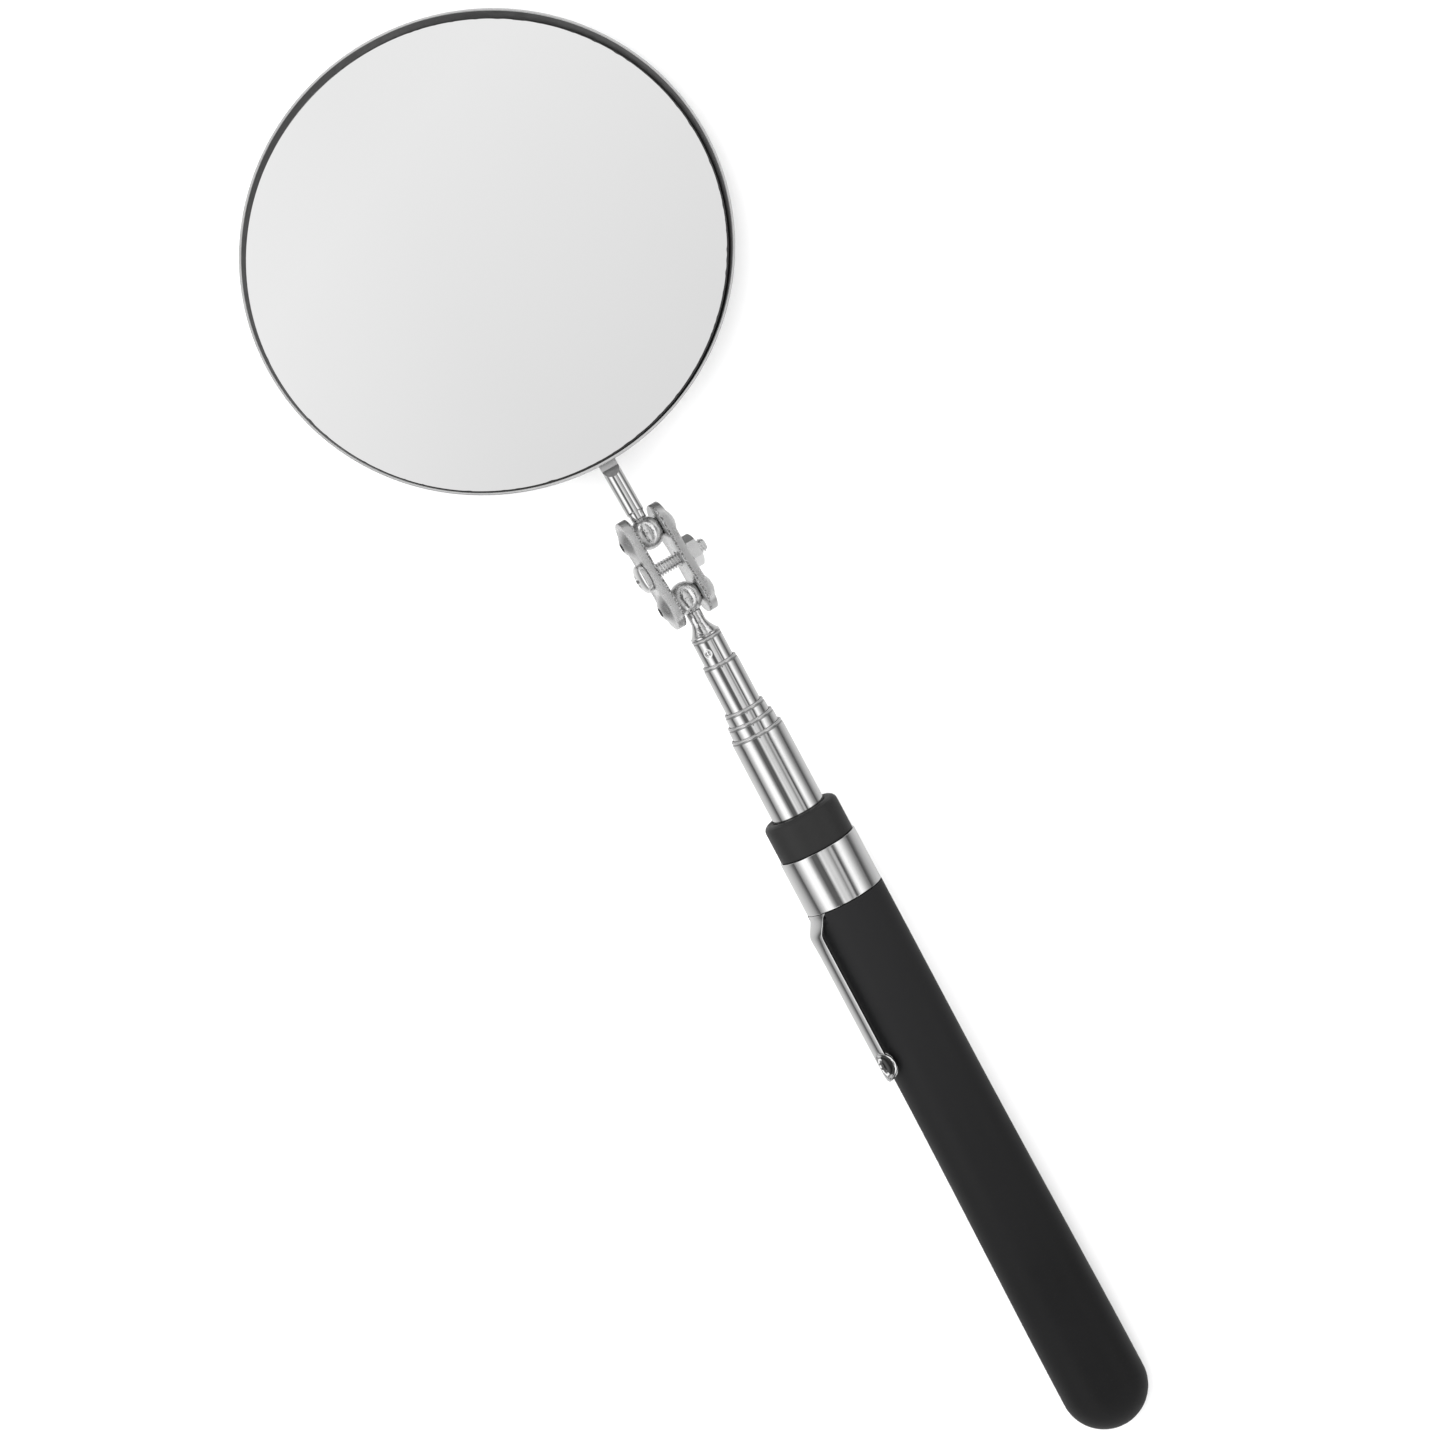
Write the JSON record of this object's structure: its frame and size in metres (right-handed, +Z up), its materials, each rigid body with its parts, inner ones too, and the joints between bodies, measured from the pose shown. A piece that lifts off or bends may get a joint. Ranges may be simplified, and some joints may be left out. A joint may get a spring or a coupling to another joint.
{
  "type": "extendable shaving mirror",
  "caption": "Round mirror on a double ball joint at the end of a telescopic chrome tube, with a soft black grip and a pocket clip.",
  "frame": {"origin": "middle of the underside, on the surface the object lies on: the grip's round end and the mirror's far rim touch it", "axes": "+Y along the object from grip to mirror, +Z up from the surface, -X the side that carries the pocket clip and the screw's head"},
  "size_m": [0.083, 0.2638, 0.0283],
  "materials": {
    "chrome": "polished chrome plate",
    "bright_steel": "thin pressed sheet, bright plated",
    "zinc_plate": "bright zinc plate",
    "barrel_steel": "drawn tube, unpolished",
    "satin_nickel": "stamped plate, matt nickel",
    "spring_brass": "split spring sleeve",
    "grip_rubber": "smooth matt, soft touch",
    "collar_plastic": "moulded, fine satin",
    "foam_tape": "double-sided foam",
    "mirror_glass": "flat silvered glass"
  },
  "bodies": {
    "handle": {"grip_sleeve": "grip_rubber", "barrel": "barrel_steel", "end_plug": "collar_plastic", "clip_sleeve": "chrome", "collar": "collar_plastic"},
    "pocket_clip": {"pocket_clip": "chrome"},
    "tube_5": {"tube_5": "chrome", "friction_sleeve_5": "spring_brass"},
    "tube_4": {"tube_4": "chrome", "friction_sleeve_4": "spring_brass"},
    "tube_3": {"tube_3": "chrome", "friction_sleeve_3": "spring_brass"},
    "tube_2": {"tube_2": "chrome", "friction_sleeve_2": "spring_brass"},
    "tip_tube": {"tip_tube": "chrome", "friction_sleeve_1": "spring_brass", "ball_stud": "chrome"},
    "lower_ball": {"lower_ball": "chrome"},
    "link": {"link_plate_left": "satin_nickel", "link_plate_right": "satin_nickel", "clamp_screw": "zinc_plate", "clamp_nut": "zinc_plate"},
    "upper_ball": {"upper_ball": "chrome"},
    "mirror": {"mirror_stem": "chrome", "mirror_cup": "bright_steel", "backing_pad": "foam_tape", "mirror_glass": "mirror_glass"}
  },
  "joints": [
    {"name": "clip_flex", "type": "hinge", "parent": "handle", "child": "pocket_clip", "pos_m": [-0.00398, -0.03139, 0.02068], "axis": [-0.4695, 0.0954, -0.8778], "range_deg": [0, 5], "stiffness_Nm_per_rad": 1.2},
    {"name": "tube_5_slide", "type": "slide", "parent": "handle", "child": "tube_5", "axis": [0, 0.9942, 0.108], "range_m": [0, 0.095]},
    {"name": "tube_4_slide", "type": "slide", "parent": "tube_5", "child": "tube_4", "axis": [0, 0.9942, 0.108], "range_m": [0, 0.095]},
    {"name": "tube_3_slide", "type": "slide", "parent": "tube_4", "child": "tube_3", "axis": [0, 0.9942, 0.108], "range_m": [0, 0.095]},
    {"name": "tube_2_slide", "type": "slide", "parent": "tube_3", "child": "tube_2", "axis": [0, 0.9942, 0.108], "range_m": [0, 0.095]},
    {"name": "tip_tube_slide", "type": "slide", "parent": "tube_2", "child": "tip_tube", "axis": [0, 0.9942, 0.108], "range_m": [0, 0.095]},
    {"name": "lower_swivel", "type": "hinge", "parent": "tip_tube", "child": "lower_ball", "pos_m": [0.00187, 0.02542, 0.02373], "axis": [0, 0.9942, 0.108], "continuous": true},
    {"name": "lower_tilt", "type": "hinge", "parent": "lower_ball", "child": "link", "pos_m": [0.00187, 0.02542, 0.02373], "axis": [0.9778, 0.0302, -0.2074], "range_deg": [-94, 116]},
    {"name": "upper_tilt", "type": "hinge", "parent": "link", "child": "upper_ball", "pos_m": [0.0013, 0.03787, 0.02288], "axis": [-0.9778, -0.0302, 0.2074], "range_deg": [-115, 94]},
    {"name": "mirror_spin", "type": "hinge", "parent": "upper_ball", "child": "mirror", "pos_m": [0.0013, 0.03787, 0.02288], "axis": [-0.0237, 0.9694, -0.2442], "continuous": true}
  ]
}
